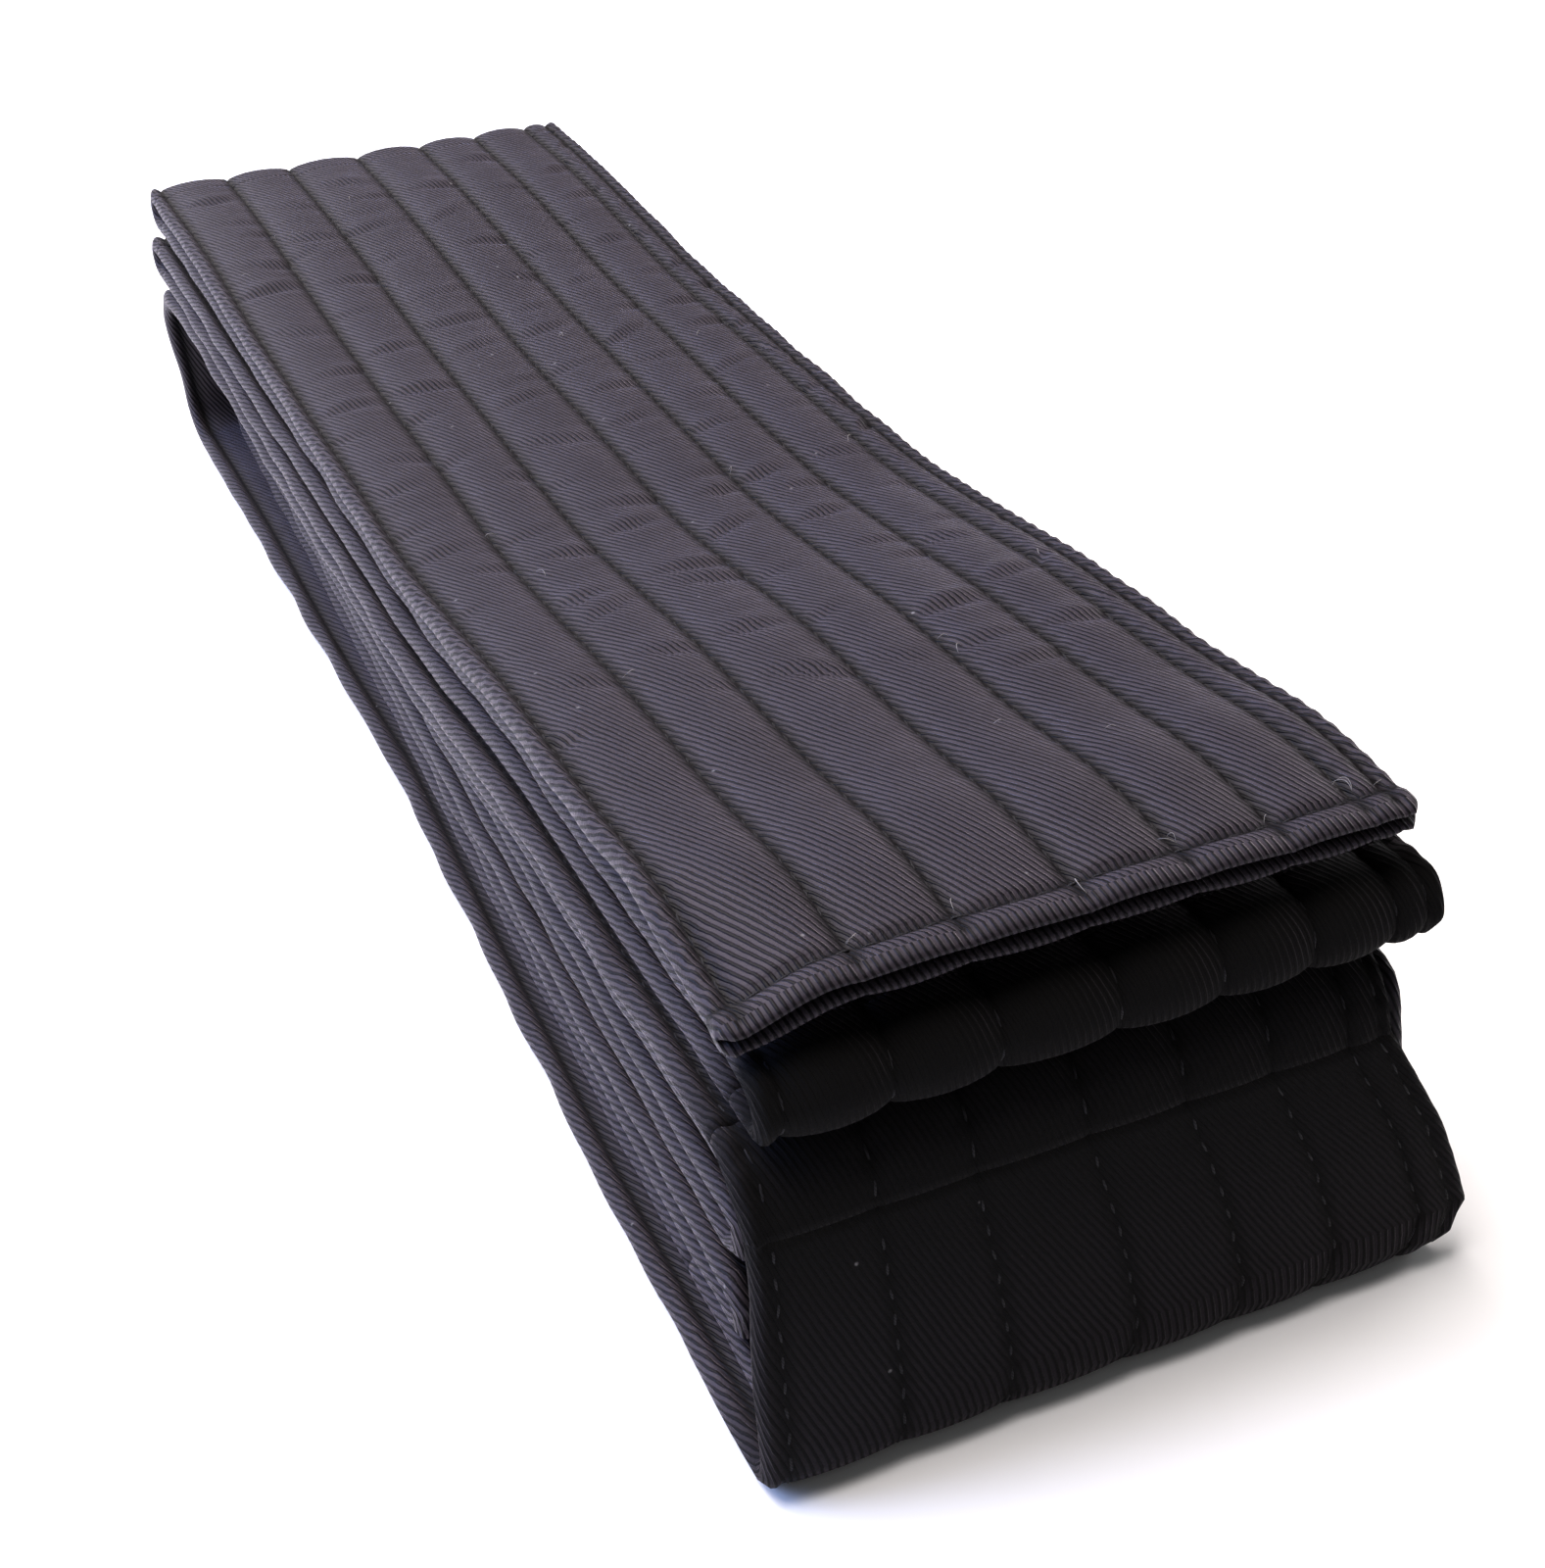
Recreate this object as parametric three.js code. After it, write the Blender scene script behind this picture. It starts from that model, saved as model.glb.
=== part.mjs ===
// A wide quilted martial arts belt, folded flat into a long bundle of eleven layers.
// Frame: X across the belt, Y along the bundle (hem end towards -Y), Z up, origin at the middle of the underside.
// The belt is one long strip. Each piece of it is a straight length that is bent onto its own stretch of the
// folded route, so every layer and fold keeps its true length.
import * as THREE from "three";

// Driving dimensions, in millimetres.
const beltWidth = 80;
const beltThickness = 4.3;
const layerGap = 0.3; // air between two layers that lie on each other
const pieceGap = 0.3; // between two pieces that follow each other along the belt
const bundleLength = 281; // from the hem end to the turn of the outer far folds
const coverWall = 0.9; // both plies of the twill cover
const coreClearance = 0.3;
const edgeRound = 1.5; // rounding of the belt's two long edges
// How far the upper layers are held up, and between which two places each rise happens. The places are
// measured from the hem end, and those of the far loop's rise back from the far turn.
const nearLift = { height: 5.05, from: 124, to: 65 }; // by the near face
const farLift = { height: 3.4, from: bundleLength - 93, to: bundleLength - 14 }; // by the far loop
const noseSlack = { height: 1.1, from: 60, to: 20 }; // the fold that shows at the near end stands open
const hemLift = { height: 2.3, from: 45, to: 8 }; // the top layer springs up at its hem end
const hemHump = { height: 2.2, from: 0, to: 25 }; // and arches behind it
const hemHumpEnd = { height: 1, from: 90, to: 45 };
const faceLean = THREE.MathUtils.degToRad(10); // the near face leans outwards as it goes down
const shoulderRadius = 8;
const toeRadius = 2.6;
const loopRadius = 9;
const hemLength = 8;
const hemExtra = 0.3; // the folded-in hem is this much thicker than the belt
const hemSlotHeight = 0.8; // between the two lips of the hem's end
const hemSlotDepth = 2.5;
const hemRowInset = 4.5; // from the hem end to the cross row of stitching
const rowMargin = 2.5; // from the belt's long edges to the first and the last lengthwise row
const rowShares = [0, 0.163, 0.32, 0.5, 0.661, 0.811, 0.947, 1]; // places of the rows between those two
const grooveWidth = 1.4;
const grooveFloor = 0.7;
const grooveDepth = 0.5;
const threadWidth = 0.5;
const threadHeight = 0.35;
const threadClearance = 0.3;

// Where the belt turns along Y, measured from the hem end. Each fold stops short of the one it lies under.
const outerFarTurn = bundleLength;
const loopTurn = bundleLength - 5;
const lowFarTurn = bundleLength - 11;
const innerFarTurn = bundleLength - 15;
const hiddenEnd = bundleLength - 19;
const noseTurn = 1;
const faceTurn = 5;
const lowNearTurn = 7;
const innerNearTurn = 9;

// How far each fold or end lies sideways, because the belt isn't folded quite straight.
const aside = {
  visibleEnd: 0,
  fold12: -0.5,
  fold23: 2,
  fold34: -2.2,
  nearFace: -0.3,
  farLoop: -2.6,
  innerFace: 1.2,
  fold109: 5,
  fold98: 1,
  fold87: 4,
  fold76: 2,
  hiddenEnd: 3,
};

const layerCount = 11;
const upperCount = 5; // layers above the dark gap in the bundle
const pitch = beltThickness + layerGap;
const tightRadius = pitch / 2;

// A smooth rise between two places along the bundle, in either direction.
function rise({ height, from, to }, y) {
  return height * THREE.MathUtils.smoothstep((y - from) / (to - from), 0, 1);
}

// Height of the middle of a layer, counted from the top, at y measured from the hem end.
function layerHeight(layer, y) {
  const flat = beltThickness / 2 + (layerCount - layer) * pitch;
  if (layer > upperCount) return flat;
  const held = flat + rise(farLift, y) + rise(nearLift, y);
  if (layer > 2) return held;
  const slack = held + rise(noseSlack, y);
  return layer === 1 ? slack + rise(hemLift, y) + rise(hemHump, y) * rise(hemHumpEnd, y) : slack;
}

// A stretch of the route has a length and at(s), which gives the place and heading at s along it.
// The heading is the angle of the way ahead, from +Y towards +Z.
function layerStretch(layer, fromY, toY, fromX, toX) {
  const length = Math.abs(toY - fromY);
  const turnedRound = toY > fromY ? 0 : Math.PI;
  return {
    length,
    at(s) {
      const y = THREE.MathUtils.lerp(fromY, toY, s / length);
      const slope = layerHeight(layer, y + 0.5) - layerHeight(layer, y - 0.5);
      const x = THREE.MathUtils.lerp(fromX, toX, s / length);
      return { x, y, z: layerHeight(layer, y), heading: Math.atan(slope) + turnedRound };
    },
  };
}

// A fold starts at a place and heading and is made of moves: {turn, radius}, to the left when
// the turn is positive, or {go}, a straight length.
function foldStretch(start, moves) {
  const lengthOf = (move) => move.go ?? Math.abs(move.turn) * move.radius;
  return {
    length: moves.reduce((sum, move) => sum + lengthOf(move), 0),
    at(s) {
      let { y, z, heading } = start;
      let left = s;
      for (const move of moves) {
        const part = Math.min(left, lengthOf(move));
        left -= part;
        if (move.go === undefined) {
          const side = Math.sign(move.turn) * move.radius;
          const turned = heading + part / side;
          y += side * (Math.sin(turned) - Math.sin(heading));
          z += side * (Math.cos(heading) - Math.cos(turned));
          heading = turned;
        } else {
          y += part * Math.cos(heading);
          z += part * Math.sin(heading);
        }
      }
      return { x: start.x, y, z, heading };
    },
  };
}

const onLayer = (layer, y, x, heading) => ({ x, y, z: layerHeight(layer, y), heading });
const endOf = (stretch) => stretch.at(stretch.length);
const halfTurn = (side, radius) => [{ turn: side * Math.PI, radius }];
const left = 1;
const right = -1;
const farwards = 0;
const nearwards = Math.PI;

// The near face runs from an upper layer over a shoulder, down the leaning face and round the toe to a lower
// layer. The inner face is nested in it: its shoulder shares the outer one's centre.
function shoulderMoves(inset) {
  return [{ turn: Math.PI / 2 - faceLean, radius: shoulderRadius - inset }];
}

function faceLength(upper, lower, inset) {
  const drop = layerHeight(upper, faceTurn) - layerHeight(lower, faceTurn);
  const shoulderDrop = (shoulderRadius - inset) * (1 - Math.sin(faceLean));
  const toeDrop = toeRadius * (1 + Math.sin(faceLean));
  return (drop - shoulderDrop - toeDrop) / Math.cos(faceLean);
}

function faceMoves(length) {
  return [{ go: length }, { turn: Math.PI / 2 + faceLean, radius: toeRadius }];
}

// The far loop rises from the bottom layer to layer 5 and leaves a hollow behind it.
function loopMoves() {
  const climb = layerHeight(upperCount, loopTurn) - layerHeight(layerCount, loopTurn);
  const quarter = { turn: Math.PI / 2, radius: loopRadius };
  return [quarter, { go: climb - 2 * loopRadius }, quarter];
}

const noseRadius = (layerHeight(2, noseTurn) - layerHeight(3, noseTurn)) / 2;
const firstLayer = layerStretch(1, 0, outerFarTurn, aside.visibleEnd, aside.fold12);
const lastLayer = layerStretch(6, innerNearTurn, hiddenEnd, aside.fold76, aside.hiddenEnd);
const shoulder = foldStretch(onLayer(4, faceTurn, aside.nearFace, nearwards), shoulderMoves(0));
const nearFace = foldStretch(endOf(shoulder), faceMoves(faceLength(4, layerCount, 0)));
const innerFace = foldStretch(onLayer(5, faceTurn, aside.innerFace, nearwards), [
  ...shoulderMoves(pitch),
  ...faceMoves(faceLength(5, layerCount - 1, pitch)),
]);

// The belt's pieces in order from the visible hem end to the hidden one: name, stretch and steps along it.
const curvedSteps = 14;
const topSteps = 18;
const turnSteps = 7;
const longTurnSteps = 14;
const pieces = [
  ["layer_01", firstLayer, topSteps],
  ["fold_01_02", foldStretch(endOf(firstLayer), halfTurn(right, tightRadius)), turnSteps],
  ["layer_02", layerStretch(2, outerFarTurn, noseTurn, aside.fold12, aside.fold23), curvedSteps],
  [
    "fold_02_03",
    foldStretch(onLayer(2, noseTurn, aside.fold23, nearwards), halfTurn(left, noseRadius)),
    turnSteps,
  ],
  ["layer_03", layerStretch(3, noseTurn, outerFarTurn, aside.fold23, aside.fold34), curvedSteps],
  [
    "fold_03_04",
    foldStretch(onLayer(3, outerFarTurn, aside.fold34, farwards), halfTurn(right, tightRadius)),
    turnSteps,
  ],
  ["layer_04", layerStretch(4, outerFarTurn, faceTurn, aside.fold34, aside.nearFace), curvedSteps],
  ["near_shoulder", shoulder, turnSteps],
  ["near_face", nearFace, turnSteps],
  ["layer_11", layerStretch(11, endOf(nearFace).y, loopTurn, aside.nearFace, aside.farLoop), 1],
  ["far_loop", foldStretch(onLayer(11, loopTurn, aside.farLoop, farwards), loopMoves()), longTurnSteps],
  ["layer_05", layerStretch(5, loopTurn, faceTurn, aside.farLoop, aside.innerFace), curvedSteps],
  ["inner_face", innerFace, longTurnSteps],
  ["layer_10", layerStretch(10, endOf(innerFace).y, lowFarTurn, aside.innerFace, aside.fold109), 1],
  [
    "fold_10_09",
    foldStretch(onLayer(10, lowFarTurn, aside.fold109, farwards), halfTurn(left, tightRadius)),
    turnSteps,
  ],
  ["layer_09", layerStretch(9, lowFarTurn, lowNearTurn, aside.fold109, aside.fold98), 1],
  [
    "fold_09_08",
    foldStretch(onLayer(9, lowNearTurn, aside.fold98, nearwards), halfTurn(right, tightRadius)),
    turnSteps,
  ],
  ["layer_08", layerStretch(8, lowNearTurn, innerFarTurn, aside.fold98, aside.fold87), 1],
  [
    "fold_08_07",
    foldStretch(onLayer(8, innerFarTurn, aside.fold87, farwards), halfTurn(left, tightRadius)),
    turnSteps,
  ],
  ["layer_07", layerStretch(7, innerFarTurn, innerNearTurn, aside.fold87, aside.fold76), 1],
  [
    "fold_07_06",
    foldStretch(onLayer(7, innerNearTurn, aside.fold76, nearwards), halfTurn(right, tightRadius)),
    turnSteps,
  ],
  ["layer_06", lastLayer, 1],
];

// Sections across the belt. Across is +x, and y goes from the stitched face at -beltThickness / 2 to the back.
function rectangle(path, width, thickness) {
  const [x, y] = [width / 2, thickness / 2];
  path.moveTo(-x, -y);
  path.lineTo(x, -y);
  path.lineTo(x, y);
  path.lineTo(-x, y);
  return path;
}

function coverSection(grooves) {
  const [x, y] = [beltWidth / 2, beltThickness / 2];
  const [roundX, roundY] = [x - edgeRound, y - edgeRound];
  const quarter = Math.PI / 2;
  const section = new THREE.Shape();
  section.moveTo(-roundX, -y);
  for (const place of grooves) {
    section.lineTo(place - grooveWidth / 2, -y);
    section.lineTo(place - grooveFloor / 2, -y + grooveDepth);
    section.lineTo(place + grooveFloor / 2, -y + grooveDepth);
    section.lineTo(place + grooveWidth / 2, -y);
  }
  section.absarc(roundX, -roundY, edgeRound, -quarter, 0);
  section.absarc(roundX, roundY, edgeRound, 0, quarter);
  section.absarc(-roundX, roundY, edgeRound, quarter, 2 * quarter);
  section.absarc(-roundX, -roundY, edgeRound, 2 * quarter, 3 * quarter);
  section.holes.push(rectangle(new THREE.Path(), beltWidth - 2 * coverWall, beltThickness - 2 * coverWall));
  return section;
}

function coreSection() {
  const inset = 2 * (coverWall + coreClearance);
  return rectangle(new THREE.Shape(), beltWidth - inset, beltThickness - inset);
}

// Bends a straight solid, across along X, through along Y and ahead along Z, onto a stretch.
function bend(straight, stretch) {
  const points = straight.getAttribute("position");
  for (let i = 0; i < points.count; i++) {
    const [across, through, ahead] = [points.getX(i), points.getY(i), points.getZ(i)];
    const { x, y, z, heading } = stretch.at(ahead);
    points.setXYZ(i, x + across, y + through * Math.sin(heading), z - through * Math.cos(heading));
  }
  straight.computeVertexNormals();
  return straight;
}

function bentStrip(section, stretch, from, to, steps) {
  const straight = new THREE.ExtrudeGeometry(section, {
    depth: to - from,
    steps,
    curveSegments: 2,
    bevelEnabled: false,
  });
  return bend(straight.translate(0, 0, from), stretch);
}

// The hem is a solid end whose cover is folded in as two rounded lips. Its outline is seen from the side.
function hemOutline() {
  const [face, back] = [-beltThickness / 2 - hemExtra, beltThickness / 2];
  const slot = hemSlotHeight / 2;
  const [faceLip, backLip] = [(-slot - face) / 2, (back - slot) / 2];
  const quarter = Math.PI / 2;
  const outline = new THREE.Shape();
  outline.moveTo(hemLength - pieceGap / 2, face);
  outline.lineTo(hemLength - pieceGap / 2, back);
  outline.lineTo(backLip, back);
  outline.absarc(backLip, back - backLip, backLip, quarter, 3 * quarter);
  outline.lineTo(hemSlotDepth, slot);
  outline.lineTo(hemSlotDepth, -slot);
  outline.lineTo(faceLip, -slot);
  outline.absarc(faceLip, face + faceLip, faceLip, quarter, 3 * quarter);
  outline.lineTo(hemRowInset - grooveWidth / 2, face);
  outline.lineTo(hemRowInset - grooveFloor / 2, face + grooveDepth);
  outline.lineTo(hemRowInset + grooveFloor / 2, face + grooveDepth);
  outline.lineTo(hemRowInset + grooveWidth / 2, face);
  return outline;
}

function threadOutline(ahead, face) {
  const floor = face + grooveDepth - threadClearance;
  const outline = new THREE.Shape();
  outline.moveTo(ahead - threadWidth / 2, floor - threadHeight);
  outline.lineTo(ahead + threadWidth / 2, floor - threadHeight);
  outline.lineTo(ahead + threadWidth / 2, floor);
  outline.lineTo(ahead - threadWidth / 2, floor);
  return outline;
}

// Extrudes a side outline across the belt. At the hidden end the outline is mirrored along the belt.
function acrossBelt(outline, width, stretch, atLastEnd) {
  const slab = new THREE.ExtrudeGeometry(outline, { depth: width, curveSegments: 6, bevelEnabled: false });
  slab.rotateY(-Math.PI / 2).translate(width / 2, 0, 0);
  if (!atLastEnd) return bend(slab, stretch);
  const backwards = {
    at(s) {
      return stretch.at(stretch.length - s);
    },
  };
  const mirrored = bend(slab, backwards);
  mirrored.setIndex([...Array(mirrored.getAttribute("position").count).keys()].reverse());
  return mirrored;
}

const coverCloth = new THREE.MeshStandardMaterial({ color: 0x2d2b2e, roughness: 0.95, metalness: 0 });
const coreCloth = new THREE.MeshStandardMaterial({ color: 0x3a3836, roughness: 1, metalness: 0 });
const thread = new THREE.MeshStandardMaterial({ color: 0x1c1b1d, roughness: 0.7, metalness: 0 });

const belt = new THREE.Group();
const rows = rowShares.map((share) => (share - 0.5) * (beltWidth - 2 * rowMargin));

function addPiece(name, geometry, material) {
  const mesh = new THREE.Mesh(geometry, material.clone());
  mesh.name = name;
  belt.add(mesh);
}

for (const [name, stretch, steps] of pieces) {
  const from = stretch === firstLayer ? hemLength : 0;
  const to = stretch === lastLayer ? stretch.length - hemLength : stretch.length;
  const grooves = stretch === firstLayer ? rows : [];
  const span = [from + pieceGap / 2, to - pieceGap / 2];
  addPiece(`cover_${name}`, bentStrip(coverSection(grooves), stretch, ...span, steps), coverCloth);
  addPiece(`core_${name}`, bentStrip(coreSection(), stretch, ...span, steps), coreCloth);
}

rows.forEach((place, row) => {
  const span = [hemLength + pieceGap, firstLayer.length - pieceGap];
  const strip = bentStrip(threadOutline(place, -beltThickness / 2), firstLayer, ...span, topSteps);
  addPiece(`thread_row_${row + 1}`, strip, thread);
});

const hemRowWidth = rows.at(-1) - rows[0];
const hemThread = () => threadOutline(hemRowInset, -beltThickness / 2 - hemExtra);
addPiece("hem_visible", acrossBelt(hemOutline(), beltWidth, firstLayer, false), coverCloth);
addPiece("thread_hem_visible", acrossBelt(hemThread(), hemRowWidth, firstLayer, false), thread);
addPiece("hem_hidden", acrossBelt(hemOutline(), beltWidth, lastLayer, true), coverCloth);
addPiece("thread_hem_hidden", acrossBelt(hemThread(), hemRowWidth, lastLayer, true), thread);

// The origin is under the middle of the bundle.
const box = new THREE.Box3().setFromObject(belt);
const middle = box.getCenter(new THREE.Vector3());
belt.position.set(-middle.x, -middle.y, -box.min.z);

export default belt;
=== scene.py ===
"""A wide quilted martial arts belt, folded flat into a bundle: soft cloth, stitches and lint."""

import functools
import math

import bpy
import numpy as np
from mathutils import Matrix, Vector, noise


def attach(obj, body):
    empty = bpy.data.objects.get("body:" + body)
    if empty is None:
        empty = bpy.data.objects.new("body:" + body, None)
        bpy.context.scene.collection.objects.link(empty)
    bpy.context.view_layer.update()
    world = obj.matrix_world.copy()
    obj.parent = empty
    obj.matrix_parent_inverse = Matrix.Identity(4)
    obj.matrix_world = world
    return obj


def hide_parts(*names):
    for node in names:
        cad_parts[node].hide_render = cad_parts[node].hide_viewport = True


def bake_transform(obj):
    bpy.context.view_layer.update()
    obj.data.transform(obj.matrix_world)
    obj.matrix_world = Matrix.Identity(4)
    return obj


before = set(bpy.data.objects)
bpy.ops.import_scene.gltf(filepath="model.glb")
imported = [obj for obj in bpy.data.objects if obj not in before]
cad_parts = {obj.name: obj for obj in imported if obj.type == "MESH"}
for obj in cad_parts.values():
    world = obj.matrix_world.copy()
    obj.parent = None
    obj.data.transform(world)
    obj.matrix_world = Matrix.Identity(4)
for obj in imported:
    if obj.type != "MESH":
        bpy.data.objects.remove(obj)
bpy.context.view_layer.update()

MM = 0.001

# The folded route, in millimetres. It repeats the dimensions that the frame's solids were made with.
belt_width = 80
belt_thickness = 4.3
layer_gap = 0.3
bundle_length = 281
# How far the upper layers are held up, and between which two places along the bundle each rise happens.
near_lift = (5.05, 124, 65)
far_lift = (3.4, bundle_length - 93, bundle_length - 14)
nose_slack = (1.1, 60, 20)
hem_lift = (2.3, 45, 8)
hem_hump = (2.2, 0, 25)
hem_hump_end = (1, 90, 45)
face_lean = math.radians(10)
shoulder_radius = 8
toe_radius = 2.6
loop_radius = 9
outer_far_turn = bundle_length
loop_turn = bundle_length - 5
low_far_turn = bundle_length - 11
inner_far_turn = bundle_length - 15
hidden_end = bundle_length - 19
nose_turn = 1
face_turn = 5
low_near_turn = 7
inner_near_turn = 9
layer_count = 11
upper_count = 5
pitch = belt_thickness + layer_gap
tight_radius = pitch / 2
aside = {
    "visible end": 0,
    "fold 1-2": -0.5,
    "fold 2-3": 2,
    "fold 3-4": -2.2,
    "near face": -0.3,
    "far loop": -2.6,
    "inner face": 1.2,
    "fold 10-9": 5,
    "fold 9-8": 1,
    "fold 8-7": 4,
    "fold 7-6": 2,
    "hidden end": 3,
}
# The frame's origin is under the middle of the bundle.
middle_x = 1.2
middle_y = 138.664

# The quilting, in millimetres.
row_places = [2.5, 14.7, 26.5, 40.0, 52.1, 63.3, 73.5, 77.5]  # from the belt's left edge
row_half = 1.05  # half the belt's thickness at a row of stitches
channel_half = 2.2  # and in the middle of a channel
edge_half = 1.75
stitch_pitch = 3.2
stitch_length = 2.7
thread_width = 0.36
hem_row = 4.2  # from the hem's end to its cross row
hem_lip = 1.9  # how far the rolled lips reach beyond the panel's last ring
hem_valley = 1.25  # half the belt's thickness at the cross row
fold_taper = 9  # the cloth thins over this length before a tight fold
fold_seam = 4  # from a fold's arc to where its piece meets the panel
folded_half = 1.0  # half the belt's thickness on the inner side of a tight fold
pucker = 0.09  # how much the stitches pull the cloth in and let it out
tight_half = 1.55  # half the belt's thickness at a row where the cloth is drawn tight
tight_swell = 0.4  # and how much more it is in the middle of a channel
hem_curl_length = 30  # from the visible end, where its arch and droop begin
hem_arch = 0.9
corner_droop = 2.8
thread_lift = 0.02  # a stitch's middle above the cloth
hair_radius = 0.05
crease_reach = 12  # a cross crease is felt this far along the belt
crease_width = 1.1
ridge_width = 1.7  # of the ridge beside a cross crease
ridge_aside = 2.6  # from the crease to its ridge
stitch_reach = 1.3  # from a stitch's middle to its end, for keeping it clear of a seam
seam_margin = 0.3
hem_cover = 4  # the hem's roll and groove end this far past the cross row
groove_width = 0.65


def smooth(t):
    t = min(max(t, 0), 1)
    return t * t * (3 - 2 * t)


def rise(lift, y):
    """A smooth rise between two places along the bundle, in either direction."""
    height, start, end = lift
    return height * smooth((y - start) / (end - start))


def layer_height(layer, y):
    """Height of the middle of a layer, counted from the top, at y measured from the hem end."""
    flat = belt_thickness / 2 + (layer_count - layer) * pitch
    if layer > upper_count:
        return flat
    held = flat + rise(far_lift, y) + rise(near_lift, y)
    if layer > 2:
        return held
    slack = held + rise(nose_slack, y)
    return slack + rise(hem_lift, y) + rise(hem_hump, y) * rise(hem_hump_end, y) if layer == 1 else slack


def layer_stretch(layer, from_y, to_y, from_x, to_x):
    """A stretch is its length and a function that gives x, y, z and heading at s along it."""
    length = abs(to_y - from_y)
    turned_round = 0 if to_y > from_y else math.pi

    def at(s):
        y = from_y + (to_y - from_y) * s / length
        x = from_x + (to_x - from_x) * s / length
        slope = layer_height(layer, y + 0.5) - layer_height(layer, y - 0.5)
        return x, y, layer_height(layer, y), math.atan(slope) + turned_round

    return length, at


def fold_stretch(start, moves):
    """A fold is made of moves: ("turn", angle, radius), leftwards for a positive angle, or ("go", length)."""

    def length_of(move):
        return move[1] if move[0] == "go" else abs(move[1]) * move[2]

    def at(s):
        x, y, z, heading = start
        left = s
        for move in moves:
            part = min(left, length_of(move))
            left -= part
            if move[0] == "go":
                y += part * math.cos(heading)
                z += part * math.sin(heading)
            else:
                side = math.copysign(move[2], move[1])
                turned = heading + part / side
                y += side * (math.sin(turned) - math.sin(heading))
                z += side * (math.cos(heading) - math.cos(turned))
                heading = turned
        return x, y, z, heading

    return sum(length_of(move) for move in moves), at


def on_layer(layer, y, x, heading):
    return x, y, layer_height(layer, y), heading


def end_of(stretch):
    return stretch[1](stretch[0])


def half_turn(side, radius):
    return [("turn", side * math.pi, radius)]


def shoulder_moves(inset):
    return [("turn", math.pi / 2 - face_lean, shoulder_radius - inset)]


def face_length(upper, lower, inset):
    """The straight part of the near face, between its shoulder and its toe."""
    drop = layer_height(upper, face_turn) - layer_height(lower, face_turn)
    shoulder_drop = (shoulder_radius - inset) * (1 - math.sin(face_lean))
    toe_drop = toe_radius * (1 + math.sin(face_lean))
    return (drop - shoulder_drop - toe_drop) / math.cos(face_lean)


def face_moves(length):
    return [("go", length), ("turn", math.pi / 2 + face_lean, toe_radius)]


def loop_moves():
    climb = layer_height(upper_count, loop_turn) - layer_height(layer_count, loop_turn)
    quarter = ("turn", math.pi / 2, loop_radius)
    return [quarter, ("go", climb - 2 * loop_radius), quarter]


nose_radius = (layer_height(2, nose_turn) - layer_height(3, nose_turn)) / 2
farwards, nearwards = 0, math.pi
left, right = 1, -1


def lay_route():
    """The stretches of the belt in order, from the visible hem end to the hidden one."""
    route = {}
    route["layer_01"] = layer_stretch(1, 0, outer_far_turn, aside["visible end"], aside["fold 1-2"])
    route["fold_01_02"] = fold_stretch(end_of(route["layer_01"]), half_turn(right, tight_radius))
    route["layer_02"] = layer_stretch(2, outer_far_turn, nose_turn, aside["fold 1-2"], aside["fold 2-3"])
    nose = on_layer(2, nose_turn, aside["fold 2-3"], nearwards)
    route["fold_02_03"] = fold_stretch(nose, half_turn(left, nose_radius))
    route["layer_03"] = layer_stretch(3, nose_turn, outer_far_turn, aside["fold 2-3"], aside["fold 3-4"])
    far = on_layer(3, outer_far_turn, aside["fold 3-4"], farwards)
    route["fold_03_04"] = fold_stretch(far, half_turn(right, tight_radius))
    route["layer_04"] = layer_stretch(4, outer_far_turn, face_turn, aside["fold 3-4"], aside["near face"])
    top = on_layer(4, face_turn, aside["near face"], nearwards)
    route["near_shoulder"] = fold_stretch(top, shoulder_moves(0))
    outer = face_moves(face_length(4, layer_count, 0))
    route["near_face"] = fold_stretch(end_of(route["near_shoulder"]), outer)
    toe = end_of(route["near_face"])[1]
    route["layer_11"] = layer_stretch(11, toe, loop_turn, aside["near face"], aside["far loop"])
    loop = on_layer(11, loop_turn, aside["far loop"], farwards)
    route["far_loop"] = fold_stretch(loop, loop_moves())
    route["layer_05"] = layer_stretch(5, loop_turn, face_turn, aside["far loop"], aside["inner face"])
    top = on_layer(5, face_turn, aside["inner face"], nearwards)
    inner = face_moves(face_length(5, layer_count - 1, pitch))
    route["inner_face"] = fold_stretch(top, shoulder_moves(pitch) + inner)
    toe = end_of(route["inner_face"])[1]
    route["layer_10"] = layer_stretch(10, toe, low_far_turn, aside["inner face"], aside["fold 10-9"])
    turns = (low_far_turn, low_near_turn, inner_far_turn, inner_near_turn, hidden_end)
    sideways = [aside[name] for name in ("fold 10-9", "fold 9-8", "fold 8-7", "fold 7-6", "hidden end")]
    for number in range(4):
        upper, lower = 9 - number, 10 - number
        heading, side = (nearwards, right) if number % 2 else (farwards, left)
        (start, end), (start_x, end_x) = turns[number : number + 2], sideways[number : number + 2]
        turn = on_layer(lower, start, start_x, heading)
        route[f"fold_{lower:02d}_{upper:02d}"] = fold_stretch(turn, half_turn(side, tight_radius))
        route[f"layer_{upper:02d}"] = layer_stretch(upper, start, end, start_x, end_x)
    return route


route = lay_route()
starts = {}
belt_length = 0
for stretch_name, (stretch_length, _) in route.items():
    starts[stretch_name] = belt_length
    belt_length += stretch_length
# Tight folds: where their arc starts and ends along the belt, and whether the face side is the inner one.
tight_folds = [
    (starts[name], starts[name] + route[name][0], name in ("fold_02_03", "fold_10_09", "fold_08_07"))
    for name in route
    if name.startswith("fold")
]


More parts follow.
